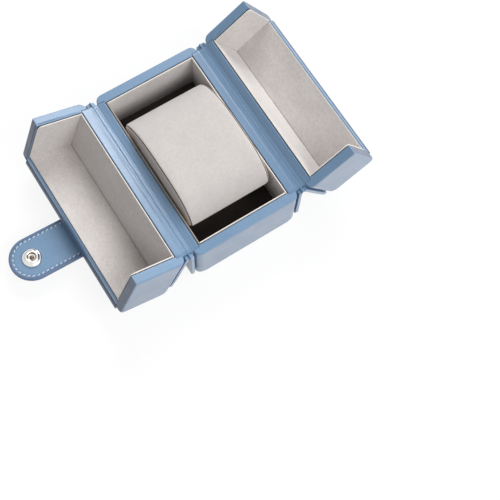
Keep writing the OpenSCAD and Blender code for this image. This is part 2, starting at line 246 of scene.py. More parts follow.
class Finish:
    """A Principled material with short ways to add its nodes."""

    def __init__(self, name, **sockets):
        self.material = bpy.data.materials.new(name)
        self.material.use_nodes = True
        self.tree = self.material.node_tree
        self.shader = self.tree.nodes["Principled BSDF"]
        self.place = self.node("ShaderNodeTexCoord").outputs["Object"]
        for socket, value in sockets.items():
            self.shader.inputs[socket.replace("_", " ")].default_value = value

    def node(self, kind, **inputs):
        made = self.tree.nodes.new(kind)
        for socket, value in inputs.items():
            made.inputs[socket.replace("_", " ")].default_value = value
        return made

    def link(self, source, target):
        self.tree.links.new(source, target)

    def noise(self, scale, detail=2.0, roughness=0.5, stretch=(1, 1, 1)):
        squeeze = self.node("ShaderNodeMapping", Scale=stretch)
        self.link(self.place, squeeze.inputs["Vector"])
        texture = self.node("ShaderNodeTexNoise", Scale=scale, Detail=detail, Roughness=roughness)
        self.link(squeeze.outputs[0], texture.inputs["Vector"])
        return texture.outputs["Fac"]

    def cells(self, scale):
        texture = self.node("ShaderNodeTexVoronoi", Scale=scale)
        self.link(self.place, texture.inputs["Vector"])
        return texture.outputs["Distance"]

    def spread(self, value, low, high, start=0.3, end=0.7):
        """A value from start to end, as a texture's is, stretched to run from low to high."""
        span = self.node("ShaderNodeMapRange")
        ends = (("From Min", start), ("From Max", end), ("To Min", low), ("To Max", high))
        for socket, number in ends:
            span.inputs[socket].default_value = number
        self.link(value, span.inputs["Value"])
        return span.outputs[0]

    def blend(self, factor, first, second):
        """Mix of two colours, each a socket or a fixed one."""
        mix = self.tree.nodes.new("ShaderNodeMix")
        mix.data_type = "RGBA"
        for socket, value in (("A", first), ("B", second)):
            target = next(s for s in mix.inputs if s.name == socket and s.type == "RGBA")
            if isinstance(value, bpy.types.NodeSocket):
                self.link(value, target)
            else:
                target.default_value = value
        self.link(factor, mix.inputs[0])
        return next(s for s in mix.outputs if s.type == "RGBA")

    def bump(self, height, depth, strength=1.0, over=None):
        """Normal of a bump, over another one if that is given."""
        made = self.node("ShaderNodeBump", Strength=strength, Distance=depth)
        self.link(height, made.inputs["Height"])
        if over:
            self.link(over, made.inputs["Normal"])
        return made.outputs[0]

    def finish(self, colour=None, roughness=None, normal=None):
        ends = ((colour, "Base Color"), (roughness, "Roughness"), (normal, "Normal"))
        for source, socket in ends:
            if source:
                self.link(source, self.shader.inputs[socket])
        return self.material


def shade(tone, factor):
    return [min(1, c * factor) for c in tone[:3]] + [1]


def leather(name, tone, gloss=0.75, creases_and_shade=0.0, matt=0.4):
    """Smooth calf over board: soft cloudiness, flecks, fine pores and a thin clear finish.

    gloss and matt are the finish's weight and roughness. creases draws lines along Y, as bumps that
    are darkened with painted shade.
    """
    made = Finish(name, IOR=1.4, Coat_Weight=gloss, Coat_Roughness=matt, Coat_IOR=1.5,
                  Sheen_Weight=0.1, Sheen_Roughness=0.35)
    cloud = made.spread(made.noise(38, 3), 0, 1)
    fleck = made.spread(made.noise(900, 2), 0, 1)
    tinted = made.blend(cloud, shade(tone, 0.92), shade(tone, 1.07))
    fine = made.blend(made.spread(fleck, 0, 0.3), tinted, shade(tone, 1.2))
    pores = made.bump(made.cells(1700), 0.03 * mm, 0.35)
    grain = made.bump(made.noise(420, 3), 0.05 * mm, 0.4, pores)
    if creases_and_shade:
        drawn = made.noise(420, 3, 0.6, stretch=(1, 0.035, 1))
        # Painted shade: the crease lines are darkened
        fine = made.blend(made.spread(drawn, 0, creases_and_shade), fine, shade(tone, 0.72))
        grain = made.bump(drawn, 0.2 * mm, creases_and_shade, grain)
    return made.finish(fine, made.spread(made.noise(120, 3), 0.34, 0.5), grain)


def suede(name, tone, mottle, nap, depth_shade=None):
    """Microfibre suede: brushed patches and dark tufts in the nap, over a fine fibre grain.

    depth_shade is (low, high, factor): from high down to low, the tone fades to its factor.
    """
    made = Finish(name, Sheen_Weight=nap, Sheen_Roughness=0.45, Specular_IOR_Level=0.2)
    brushed = made.noise(95, 4, 0.6, stretch=(1, 0.55, 1))
    fibre = made.noise(1500, 4, 0.7)
    patched = made.blend(made.spread(brushed, 0, 1),
                         shade(tone, 1 - mottle), shade(tone, 1 + mottle * 0.6))
    fine = made.blend(made.spread(fibre, 0, 0.75), patched, shade(tone, 0.76))
    tufts = made.spread(made.noise(560, 3, 0.7), 0, 1.5 * mottle, start=0.45, end=0.62)
    fine = made.blend(tufts, fine, shade(tone, 0.45))
    if depth_shade:
        low, high, factor = depth_shade
        split = made.node("ShaderNodeSeparateXYZ")
        made.link(made.place, split.inputs[0])
        depth = made.spread(split.outputs["Z"], 1, 0, low, high)
        fine = made.blend(depth, fine, shade(tone, factor))
    bumps = made.bump(made.noise(2200, 3, 0.7), 0.10 * mm, 0.6)
    waves = made.bump(made.noise(160, 2), 0.25 * mm, 0.25, bumps)
    return made.finish(fine, made.spread(brushed, 0.85, 1.0), waves)


def thread(name, tone):
    """Waxed sewing thread with its twist."""
    made = Finish(name, Roughness=0.5, Sheen_Weight=0.3)
    twist = made.noise(2600, 2)
    return made.finish(made.blend(made.spread(twist, 0, 1), shade(tone, 0.82), tone),
                       normal=made.bump(twist, 0.04 * mm, 0.6))


def nickel(name, tone, roughness):
    """Polished nickel plating, with the faint scratches of buffing."""
    made = Finish(name, Metallic=1.0)
    scratches = made.noise(700, 3)
    return made.finish(made.blend(made.spread(scratches, 0, 1), shade(tone, 0.93), tone),
                       made.spread(scratches, roughness * 0.7, roughness * 1.4),
                       made.bump(scratches, 0.01 * mm, 0.3))


GREY_SUEDE = srgb(221, 215, 212)
TRAY_SHADE = (4 * mm, 21 * mm, 0.12)

blue_leather = leather("blue_leather", srgb(107, 139, 171))
wrap_leather = leather("wrap_leather", srgb(102, 134, 166))
hinge_leather = leather("hinge_leather", srgb(100, 134, 168), gloss=1.0, creases_and_shade=0.6, matt=0.26)
# Painted reflection: the end walls' outer faces are paler, for the white floor that they mirror
end_reflection_leather = leather("end_reflection_leather", srgb(130, 148, 172))
# Painted reflection: the wrap's panel ends are paler, as the end walls are
panel_end_reflection_leather = leather("panel_end_reflection_leather", srgb(140, 158, 182))
# Painted shade: near-black leather for the walls behind the linings, so the gaps round them read
# dark
cavity_shade_leather = leather("cavity_shade_leather", srgb(38, 52, 74), 0.1)
# Painted shade: a darker leather for the end walls' faces at the lid's free edge
mating_shade_leather = leather("mating_shade_leather", srgb(86, 100, 122), 0.3)
# Painted shade: a dark leather for the wrap's free edge
free_edge_shade_leather = leather("free_edge_shade_leather", srgb(50, 72, 104), 0.5)
# Painted shade: a darker leather for the strap's edge and its border outside the seam
strap_edge_shade = leather("strap_edge_shade", srgb(80, 108, 142))
# Painted shade: a dark leather for the needle holes' dimples
needle_hole_shade = leather("needle_hole_shade", srgb(44, 66, 100), 0.1)
board_suede = suede("board_suede", GREY_SUEDE, 0.12, 0.75)
tray_suede = suede("tray_suede", GREY_SUEDE, 0.12, 0.75, TRAY_SHADE)
# Painted shade: the tray's floor lining is dark for the shade deep in the tray
floor_suede = suede("floor_suede", srgb(70, 64, 61), 0.12, 0.1)
board_edge = suede("board_edge", srgb(246, 240, 233), 0.03, 0.3)
# Painted shade: the base's left lining has a darker edge, for the shade in the gap by the cushion
left_edge_shade = suede("left_edge_shade", srgb(176, 165, 157), 0.03, 0.1)
cushion_suede = suede("cushion_suede", GREY_SUEDE, 0.06, 0.7)
# Painted shade: the cushion's gusset and side panels take a darker, warmer suede
gusset_shade_suede = suede("gusset_shade_suede", srgb(210, 195, 183), 0.06, 0.3)
seam_shadow = suede("seam_shadow", srgb(84, 74, 70), 0.04, 0.0)
white_thread = thread("white_thread", srgb(226, 236, 247))
bright_nickel = nickel("bright_nickel", srgb(232, 230, 226), 0.13)
dark_nickel = nickel("dark_nickel", srgb(120, 98, 84), 0.3)


def refinish(node, material):
    """Gives a CAD node that stays its own material."""
    slots = frame["nodes"][node].data.materials
    slots.clear()
    slots.append(material)


# ---- Mesh helpers ----

def piece(name, mesh, *finishes, at=None, sharp=40):
    """Object from a closed bmesh, with its materials and with normals weighted by area."""
    if at is not None:
        mesh.transform(at)
    bmesh.ops.recalc_face_normals(mesh, faces=mesh.faces)
    for face in mesh.faces:
        face.smooth = True
    data = bpy.data.meshes.new(name)
    mesh.to_mesh(data)
    mesh.free()
    data.set_sharp_from_angle(angle=math.radians(sharp))
    for finish in finishes:
        data.materials.append(finish)
    made = bpy.data.objects.new(name, data)
    bpy.context.collection.objects.link(made)
    weighted = made.modifiers.new("weighted_normals", "WEIGHTED_NORMAL")
    weighted.keep_sharp = True
    return made


def near(value, target, reach=0.05 * mm):
    return abs(value - target) < reach


def is_along(direction, axis):
    """Whether a unit vector runs along an axis, roughly."""
    return abs(direction[axis]) > 0.9


def smooth(t):
    """Eased step: 0 up to t = 0, and 1 from t = 1."""
    t = max(0.0, min(1.0, t))
    return t * t * (3 - 2 * t)


def dip(distance, width):
    """Bell curve: 1 at no distance, and almost 0 from two widths."""
    return math.exp(-(distance / width) ** 2)


def rounding(radius, past):
    """How far a rounded edge has drawn in, at a distance past the start of its rounding."""
    return radius - math.sqrt(max(0, radius ** 2 - max(0, past) ** 2))


def arc(centre, radius, start, end, steps):
    """Points along an arc in a plane, with angles in degrees."""
    return [(centre[0] + radius * math.cos(math.radians(start + (end - start) * i / steps)),
             centre[1] + radius * math.sin(math.radians(start + (end - start) * i / steps)))
            for i in range(steps + 1)]


def full_turn(steps):
    return [2 * math.pi * i / steps for i in range(steps)]


def cell_solid(xs, ys, zs, filled):
    """Closed surface round the cells of a grid that filled(i, j, k) picks."""
    mesh = bmesh.new()
    corners = {}
    cells = {(i, j, k) for i in range(len(xs) - 1) for j in range(len(ys) - 1)
             for k in range(len(zs) - 1) if filled(i, j, k)}

    def corner(at):
        if at not in corners:
            corners[at] = mesh.verts.new((xs[at[0]], ys[at[1]], zs[at[2]]))
        return corners[at]

    for cell in sorted(cells):
        for axis in (X, Y, Z):
            for step in (0, 1):
                beyond = list(cell)
                beyond[axis] += 2 * step - 1
                if tuple(beyond) in cells:
                    continue
                loop = []
                for first, second in ((0, 0), (1, 0), (1, 1), (0, 1)):
                    at = list(cell)
                    at[axis] += step
                    at[(axis + 1) % 3] += first
                    at[(axis + 2) % 3] += second
                    loop.append(corner(tuple(at)))
                mesh.faces.new(loop if step else loop[::-1])
    bmesh.ops.dissolve_limit(mesh, angle_limit=math.radians(1), verts=mesh.verts, edges=mesh.edges)
    return mesh


def round_edges(mesh, radius, segments, picks=None):
    """Rounds the sharp edges that picks(middle, direction) chooses, or all of them."""
    edges = []
    for edge in mesh.edges:
        if len(edge.link_faces) != 2 or edge.calc_face_angle(0) < math.radians(35):
            continue
        first, last = (v.co for v in edge.verts)
        if picks is None or picks((first + last) / 2, (last - first).normalized()):
            edges.append(edge)
    bmesh.ops.bevel(mesh, geom=edges, offset=radius, offset_type="OFFSET", segments=segments,
                    profile=0.5, affect="EDGES", clamp_overlap=True)


def add_skin(mesh, rings, close=True, material=0):
    """Adds a surface over rings of points to a mesh, capped at both ends."""
    rows = [[mesh.verts.new(p) for p in ring] for ring in rings]
    count = len(rows[0])
    faces = [(low[i], low[(i + 1) % count], high[(i + 1) % count], high[i])
             for low, high in zip(rows, rows[1:]) for i in range(count)]
    if close:
        faces += [rows[0][::-1], rows[-1]]
    for face in faces:
        mesh.faces.new(face).material_index = material


def skin(rings, close=True):
    mesh = bmesh.new()
    add_skin(mesh, rings, close)
    return mesh


def turned(profile, steps=64):
    """Surface of revolution about Z through (radius, height) points in mm.

    The profile runs from axis to axis, or it is a closed loop that ends where it starts.
    """
    rings = [[(r * mm * math.cos(a), r * mm * math.sin(a), z * mm) for a in full_turn(steps)]
             for r, z in profile]
    mesh = skin(rings, close=False)
    bmesh.ops.remove_doubles(mesh, verts=mesh.verts, dist=0.001 * mm)
    return mesh


def united(mesh, *others):
    """One closed mesh from several that overlap."""
    made = piece("joined", mesh)
    made.modifiers.clear()
    tools = [piece("joining", other) for other in others]
    for tool in tools:
        tool.modifiers.clear()
        join = made.modifiers.new("join", "BOOLEAN")
        join.operation, join.solver, join.object = "UNION", "EXACT", tool
    bpy.context.view_layer.update()
    whole = bmesh.new()
    whole.from_mesh(made.evaluated_get(bpy.context.evaluated_depsgraph_get()).to_mesh())
    for spent in [made] + tools:
        bpy.data.objects.remove(spent)
    return whole


# ---- Base tray and lid boxes ----

HEM_DEPTH = 1.5 * mm
HEM_T = 2.85 * mm
BOARD_HIGH = CASE_H - HEM_T - 0.6 * mm
RIM_R, RIM_INNER_R, RIDGE_INNER_R = 0.9 * mm, 0.5 * mm, 0.4 * mm
CEILING_EDGE_R, BOARD_EDGE_R = 0.6 * mm, 0.4 * mm
END_OVERLAP = 0.02 * mm
CAVITY_SHADE, END_REFLECTION, EDGE = 1, 2, 3


def darken_cavity(mesh, walls):
    """Gives the walls behind the linings a near-black leather, as painted shade in the gaps round
    the linings.
    """
    mesh.normal_update()
    for face in mesh.faces:
        middle = face.calc_center_median()
        for axis, place in walls:
            on_wall = near(middle[axis], place, 0.01 * mm) and is_along(face.normal, axis)
            if on_wall and abs(middle.y) < LEAF_Y:
                face.material_index = CAVITY_SHADE


def paint_end_reflection(mesh):
    """Gives the outer faces of the end walls a leather that is paler than the rims', as a painted
    reflection of the white floor.
    """
    for face in mesh.faces:
        outer = abs(face.normal.y) > 0.7 and abs(face.calc_center_median().y) > LEAF_Y - mm
        if outer and face.material_index == 0:
            face.material_index = END_REFLECTION


def end_wall(end, x_span, z_span, radii, corners):
    """End of a box past its wrapped length, with z_span from rim to ridge.

    radii round the outer face into the two ends in X, the rim and the ridge. corners round the
    outline itself: both at the rim, then both at the ridge.
    """
    (low_x, high_x), (rim, ridge) = x_span, z_span
    height, up = abs(ridge - rim), math.copysign(1, ridge - rim)
    start = LEAF_Y - END_OVERLAP
    levels = {start, start + 0.1 * mm, start + 0.22 * mm, start + RIDGE_INNER_R}
    for radius in (max(radii), RIM_R):
        levels |= {END_Y - radius * (1 - math.sin(math.radians(9 * i))) for i in range(11)}
    rings = []
    for y in sorted(levels):
        insets = [rounding(r, y - (END_Y - r)) for r in radii]
        insets[3] += rounding(RIDGE_INNER_R, start + RIDGE_INNER_R - y)
        low, high = low_x + insets[0], high_x - insets[1]
        near_rim, near_ridge = insets[2], height - insets[3]
        places = ((low, near_rim, 1, 1), (high, near_rim, -1, 1),
                  (high, near_ridge, -1, -1), (low, near_ridge, 1, -1))
        ring = []
        for (x, u, right, over), radius, angle in zip(places, corners, (180, 270, 0, 90)):
            ring += arc((x + right * radius, u + over * radius), radius, angle, angle + 90, 6)
        rings.append([(x, end * y, rim + up * u) for x, u in ring])
    return skin(rings)


def base_tray():
    xs = (-BOX_X, -CAVITY_X, CAVITY_X, BOX_X)
    ys = (-LEAF_Y, -CAVITY_Y, CAVITY_Y, LEAF_Y)
    zs = (COVER_T, FLOOR_Z, BASE_RIM - LEAF_T, BASE_RIM)

    def filled(i, j, k):
        """Floor and four walls, with steps in the rim for the hinge leathers."""
        return k == 0 or (k == 1 and (i != 1 or j != 1)) or (k == 2 and i == 1 and j != 1)

    def inner_rim(p, d):
        return near(p.z, BASE_RIM) and near(abs(p.y), CAVITY_Y) and is_along(d, X)

    mesh = cell_solid(xs, ys, zs, filled)
    round_edges(mesh, RIM_INNER_R, 4, inner_rim)
    radii = (CORNER_R, CORNER_R, RIM_R, END_EDGE_R)
    corners = (RIM_R, RIM_R, END_EDGE_R, END_EDGE_R)
    mesh = united(mesh, *[end_wall(end, (-END_X, END_X), (BASE_RIM, RIDGE_LOW), radii, corners)
                          for end in (-1, 1)])
    darken_cavity(mesh, [(X, -CAVITY_X), (X, CAVITY_X), (Y, -CAVITY_Y), (Y, CAVITY_Y)])
    paint_end_reflection(mesh)
    made = piece("base_tray", mesh, blue_leather, cavity_shade_leather, end_reflection_leather)
    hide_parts("base_shell")
    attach(made, "base")


def lid_box(side):
    xs = (-BOX_X, -CAVITY_X, FREE_X - HEM_DEPTH, FREE_X)
    ys = (-LEAF_Y, -CAVITY_Y, CAVITY_Y, LEAF_Y)
    zs = (LID_RIM, LID_RIM + LEAF_T, CEILING_Z, BOARD_HIGH, CASE_H - COVER_T)

    def filled(i, j, k):
        """Side wall, end walls and top board, with steps for hinge leather and wrap."""
        return ((k == 0 and j != 1 and i >= 1) or (k == 1 and (i == 0 or j != 1))
                or k == 2 or (k == 3 and i <= 1))

    def free_edge(p, d, z):
        return near(p.x, FREE_X) and near(p.z, z) and is_along(d, Y)

    def inner_rim(p, d):
        at_rim = near(p.z, LID_RIM) or near(p.x, FREE_X)
        inner = near(abs(p.y), CAVITY_Y) or free_edge(p, d, LID_RIM)
        return at_rim and inner and abs(p.z - CEILING_Z) > mm

    mesh = cell_solid(xs, ys, zs, filled)
    round_edges(mesh, CEILING_EDGE_R, 4, lambda p, d: free_edge(p, d, CEILING_Z))
    round_edges(mesh, RIM_INNER_R, 4, inner_rim)
    round_edges(mesh, BOARD_EDGE_R, 3, lambda p, d: free_edge(p, d, BOARD_HIGH))
    radii = (CORNER_R, RIM_R, RIM_R, END_EDGE_R)
    corners = (RIM_R, RIM_INNER_R, 2.5 * mm, END_EDGE_R)
    mesh = united(mesh, *[end_wall(end, (-END_X, FREE_X), (LID_RIM, RIDGE_Z), radii, corners)
                          for end in (-1, 1)])
    darken_cavity(mesh, [(X, -CAVITY_X), (Y, -CAVITY_Y), (Y, CAVITY_Y)])
    # Painted shade on the end walls' faces at the free edge
    for face in mesh.faces:
        middle = face.calc_center_median()
        if face.normal.x > 0.95 and near(middle.x, FREE_X) and abs(middle.y) > CAVITY_Y:
            face.material_index = EDGE
    paint_end_reflection(mesh)
    name = side_name(side)
    made = piece(f"{name}_lid_box", mesh, blue_leather, cavity_shade_leather, end_reflection_leather, mating_shade_leather,
                 at=opened(side))
    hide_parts(f"{name}_lid_shell")
    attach(made, f"{name}_lid")


# ---- Outer wrap, one sheet from under the base over the hinge to the lid's free edge ----

WRAP_EDGE_R = 0.6 * mm
WRAP_OVERHANG = 0.2 * mm
HEM_EDGE_R = 0.45 * mm
# The wrap is thin where it folds, within this height of the hinge line
FOLD_REACH = 1.6 * mm
FOLD_T = 0.15 * mm
FOLD_STEPS = 28
SEAM_INSET = 3 * mm
SEAM_W, SEAM_DEPTH = 0.35 * mm, 0.22 * mm
CENTRE_SEAM_X = FREE_X - 4 * mm
END_SEAM_X = -33 * mm
FREE_EDGE_SHADE, PANEL_END_REFLECTION = 1, 2


def wrap_stations():
    """Along the wrap's outer face in the closed case: place (x, z) and outward normal."""
    corner_x = SIDE_X - COVER_EDGE_R

    def corner(z, start, end):
        return [((x, up), ((x + corner_x) / COVER_EDGE_R, (up - z) / COVER_EDGE_R))
                for x, up in arc((-corner_x, z), COVER_EDGE_R, start, end, 10)]

    fold = [HINGE_Z + FOLD_REACH * 2 * (i / FOLD_STEPS - 0.5) for i in range(FOLD_STEPS + 1)]
    levels = [z * mm for z in (5, 12, 20, 27)] + fold + [z * mm for z in (40, 50, 58)]
    tops = (-28, -22, -16, -10, -6.5, -5.6, -5.1, -4.8, -4.5, -4.2, -3.9, -3.4, -2.5)
    return ([((-x * mm, 0), (0, -1)) for x in (0, 12, 24)]
            + corner(COVER_EDGE_R, 270, 180)
            + [((-SIDE_X, z), (-1, 0)) for z in levels]
            + corner(CASE_H - COVER_EDGE_R, 180, 90)
            + [((x * mm, CASE_H), (0, 1)) for x in tops])


def end_reach(z):
    """Half length of the wrap at a height: full on the side panels, less over and under them."""
    shoulder = PANEL_Y - SHEET_Y
    panel_end = COVER_T + END_EDGE_R
    past = max(panel_end - z, z - (CASE_H - panel_end), 0)
    return SHEET_Y + math.sqrt(max(0, shoulder ** 2 - past ** 2))


def wrap_ring(place, normal, thickness, reach, seams, lowered=0.0):
    """Section of the wrap across the case: rounded outer edges, and seam channels if sewn."""
    across = [(-reach + r, h) for r, h in arc((WRAP_EDGE_R, WRAP_EDGE_R), WRAP_EDGE_R, 180, 270, 4)]
    across += [(-reach + inset * mm, 0) for inset in (1.6, 2.2, 2.6, 2.8, 3.0, 3.2, 3.4, 3.8, 5, 9)]
    across += [(share * reach, 0) for share in (-0.6, -0.4, -0.2)]
    across += [(0, 0)] + [(-y, h) for y, h in reversed(across)]
    past_end = smooth((place[0] - END_SEAM_X) / (1.5 * mm))
    ring = []
    for y, h in across:
        inset = reach - abs(y) - SEAM_INSET
        end_channel = dip(inset, SEAM_W) * past_end
        centre_channel = dip(place[0] - CENTRE_SEAM_X, SEAM_W) * smooth(inset / mm + 1)
        depth = h + lowered + (SEAM_DEPTH * max(end_channel, centre_channel) if seams else 0)
        ring.append((y, min(depth, thickness - 0.05 * mm)))
    ring += [(reach - 0.2 * mm, thickness), (-reach + 0.2 * mm, thickness)]
    return [(place[0] - normal[0] * depth, y, place[1] - normal[1] * depth) for y, depth in ring]


def hem_rings():
    """Sections of the wrap's free edge: the step to its thick hem, then the rounding down."""
    hem_x, end_x = FREE_X - HEM_DEPTH + 0.1 * mm, FREE_X + WRAP_OVERHANG
    hem = [(hem_x, 0, COVER_T), (hem_x + 0.05 * mm, 0, HEM_T)]
    hem += [(end_x - HEM_EDGE_R + x, HEM_EDGE_R - h, HEM_T - 0.8 * (HEM_EDGE_R - h))
            for x, h in arc((0, 0), HEM_EDGE_R, 90, 0, 5)]
    return [wrap_ring((x, CASE_H), (0, 1), thickness, SHEET_Y - lowered, False, lowered)
            for x, lowered, thickness in hem]


def wrap(side):
    rings = []
    for place, normal in wrap_stations():
        z = place[1]
        off_hinge = smooth((abs(z - HINGE_Z) - FOLD_REACH * 0.55) / (FOLD_REACH * 0.4))
        thickness = FOLD_T + (COVER_T - FOLD_T) * off_hinge
        on_top = z > CASE_H - 0.01 * mm
        share = smooth((z - HINGE_Z) / (0.9 * mm) + 0.5)
        move = turned_about_hinge(side, share) @ mirrored(side)
        rings.append([move @ Vector(p)
                      for p in wrap_ring(place, normal, thickness, end_reach(z), on_top)])
    rings += [[opened(side) @ Vector(p) for p in ring] for ring in hem_rings()]
    mesh = skin(rings)
    mesh.normal_update()
    back = opened(side).inverted()
    for face in mesh.faces:
        middle, facing = back @ face.calc_center_median(), back.to_3x3() @ face.normal
        # Painted shade on the faces of the wrap's free edge
        if middle.x > FREE_X - 0.3 * mm and abs(facing.x) > 0.6:
            face.material_index = FREE_EDGE_SHADE
        # Painted reflection: the panels' ends take a paler leather
        elif abs(facing.y) > 0.7 and middle.z < RIDGE_Z - 2 * COVER_T:
            face.material_index = PANEL_END_REFLECTION
    name = side_name(side)
    made = piece(f"{name}_wrap", mesh, wrap_leather, free_edge_shade_leather, panel_end_reflection_leather)
    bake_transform(made)
    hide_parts("base_cover", f"{name}_lid_cover")


# ---- Hinge strip: the leather that lines a hinge, from the base's rim to the lid's ----

STRIP_T = 0.42 * mm
STRIP_ROWS = 90


def strip_height(d):
    """Height of the strip over the hinge line, at a distance from it."""
    rim = BASE_RIM - HINGE_Z
    ridge = 0.34 * mm * dip(d, 1.3 * mm)
    groove = 0.07 * mm * dip(d - 2.5 * mm, 0.4 * mm)
    return rim + ridge - groove


def strip_profile():
    """Half of the strip's section: (distance from the hinge line, height over it), inwards."""
    start = HINGE_X - CAVITY_X - STRIP_T - 0.03 * mm
    section = [(start + x, strip_height(start) - STRIP_T + h)
               for x, h in arc((0, 0), STRIP_T, 10, 90, 5)]
    distances = (3.9, 3.5, 3.1, 2.8, 2.55, 2.4, 2.25, 2.1, 1.95, 1.8, 1.6, 1.4, 1.2, 1.0, 0.8, 0.6,
                 0.45, 0.3, 0.18, 0.08)
    return section + [(d * mm, strip_height(d * mm)) for d in distances]


def hinge_strip(side):
    half = strip_profile()
    turn = Matrix.Rotation(math.radians(closing_angle(side)), 2)
    section = half + [tuple(turn @ Vector((d, -h))) for d, h in reversed(half)]
    ys = [LEAF_Y * (2 * row / STRIP_ROWS - 1) for row in range(STRIP_ROWS + 1)]
    rings = []
    for index, (d, h) in enumerate(section):
        before = Vector(section[max(index - 1, 0)])
        after = Vector(section[min(index + 1, len(section) - 1)])
        along = (after - before).normalized()
        inward = Vector((along.y, -along.x))
        if inward.y > 0.3:
            inward = -inward
        out = math.hypot(d, h)
        wave_size = 0.05 * mm * dip(out - 2.2 * mm, 1.5 * mm)
        crease_size = 0.06 * mm * dip(out, 1.4 * mm)
        points = []
        for y in ys:
            wave = wave_size * noise.noise((d / mm * 1.1, y / mm * 0.05, side * 3))
            crease = crease_size * noise.noise((side * 9, y / mm * 0.22, index * 0.5))
            end = 0.3 * mm * (1 - smooth((LEAF_Y - abs(y)) / (0.5 * mm)))
            points.append((y, Vector((d, h)) - inward * (wave + crease - end)))
        under = Vector((d, h)) + inward * STRIP_T
        points += [(LEAF_Y, under), (-LEAF_Y, under)]
        rings.append([(side * (HINGE_X - p.x), y, HINGE_Z + p.y) for y, p in points])
    name = side_name(side)
    made = piece(f"{name}_hinge_strip", skin(rings), hinge_leather, sharp=60)
    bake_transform(made)
    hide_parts(f"{name}_hinge_leather", f"{name}_lid_hinge_leaf")


# ---- Lining boards ----

BACK_GAP, TOP_SETBACK = 0.25 * mm, 0.7 * mm
LINING_EDGE_R, LINING_CORNER_R = 0.3 * mm, 2.5 * mm
TURNED_EDGE, SHADE_LINE = 1, 2
# The wall behind each board: its axis, and which end of the board faces it
WALLS = {"left": (X, -1), "right": (X, 1), "front": (Y, -1), "back": (Y, 1), "floor": (Z, -1),
         "side": (X, -1), "top": (Z, 1)}
# The edge of a lid's side and top board that lies in their dark corner
CORNER_EDGE = {"side": Vector((0, 0, 1)), "top": Vector((-1, 0, 0))}


def lining_board(name, low, high, body, wall, at=None, free_corner=None, finish=board_suede,
                 edge=board_edge, dark=None):
    """Thin board in suede, clear of the wall behind it: turned edges round a face with a nap.

    free_corner picks the corners to round, and dark is the way that a shaded edge faces.
    """
    axis, end = wall
    low, high = Vector(low), Vector(high)
    if end < 0:
        low[axis] += BACK_GAP
    else:
        high[axis] -= BACK_GAP
    mesh = cell_solid(*zip(low, high), lambda i, j, k: True)
    if free_corner:
        round_edges(mesh, LINING_CORNER_R, 8, free_corner)
    round_edges(mesh, LINING_EDGE_R, 4)
    for face in mesh.faces:
        face.material_index = 0 if abs(face.normal[axis]) > 0.97 else TURNED_EDGE
        if dark and face.normal.dot(dark) > 0.2:
            face.material_index = SHADE_LINE
    made = piece(f"{name}_suede", mesh, finish, edge, seam_shadow, at=at)
    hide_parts(name)
    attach(made, body)


def corner_at(x, z):
    """Picks the edge along Y at a place."""
    return lambda p, d: is_along(d, Y) and near(p.x, x) and near(p.z, z)


def linings():
    for part in ("left", "right", "front", "back", "floor"):
        name = f"base_lining_{part}"
        lining_board(name, *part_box(name), "base", WALLS[part],
                     # Painted shade: the floor lining takes the dark suede
                     finish=floor_suede if part == "floor" else tray_suede,
                     # Painted shade: the left lining's edge is darker
                     edge=left_edge_shade if part == "left" else board_edge)
    for side in (LEFT, RIGHT):
        lid = f"{side_name(side)}_lid"
        for part in ("side", "top", "front", "back"):
            name = f"{lid}_lining_{part}"
            low, high = closed_box(name, side)
            if part == "top":
                high.x -= TOP_SETBACK
            free_corner = corner_at(high.x, low.z) if part in ("front", "back") else None
            lining_board(name, low, high, lid, WALLS[part], opened(side), free_corner,
                         dark=CORNER_EDGE.get(part))


# ---- Strap ----

strap_low, strap_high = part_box("strap_outer_leather")
STRAP_W = strap_high.y - strap_low.y
STRAP_L = 52.5 * mm
STRAP_T = 2.2 * mm
STRAP_TIP_X = STRAP_L - STRAP_W / 2
STRAP_CORNER_R, STRAP_EDGE_R = 2.5 * mm, 0.75 * mm
STRAP_ANGLE = 17  # degrees that it rises from its lid's top at rest
STRAP_SEAM = 2.3 * mm
SNAP_REACH = 40 * mm
BORDER_SHADE = 1


def strap_place():
    """From the strap's own coordinates, with X from root to tip and Z outwards, to its rest."""
    root = Vector(JOINTS["strap_flex"]["pos_m"])
    turn = Matrix.Rotation(-math.radians(closing_angle(LEFT) + STRAP_ANGLE), 4, "Y")
    return Matrix.Translation(root) @ turn


def strap_outline():
    """Outline from the tip round to the tip again, with the matching points of the spine."""
    half, corner, tip, back = STRAP_W / 2, STRAP_CORNER_R, STRAP_TIP_X, -STRAP_T / 2
    sides = [tip - (tip - corner) * i / 22 for i in range(1, 22)]
    root = arc((back + corner, half - corner), corner, 90, 180, 8)
    root += [(back, y * (half - corner)) for y in (0.66, 0.33, 0, -0.33, -0.66)]
    root += arc((back + corner, corner - half), corner, 180, 270, 8)
    return ([(p, (tip, 0)) for p in arc((tip, 0), half, -90, 90, 40)]
            + [((x, half), (max(x, half), 0)) for x in sides]
            + [(p, (half, 0)) for p in root]
            + [((x, -half), (max(x, half), 0)) for x in reversed(sides)])


def strap_relief(inset, x, y, outside):
    """Depth of a face under its plane: the sewn channel, the dent over the snap, the crown."""
    root_fade = smooth((x - 2 * mm) / (3 * mm))
    channel = 0.2 * mm * dip(inset - STRAP_SEAM, 0.4 * mm) * root_fade
    snap = math.hypot(x - SNAP_REACH, y)
    dent = (0.16 if outside else 0.1) * mm * (1 - smooth((snap - 3.6 * mm) / (2.2 * mm)))
    crown = -0.12 * mm * smooth((inset - 3.2 * mm) / (5 * mm))
    return channel + dent + crown


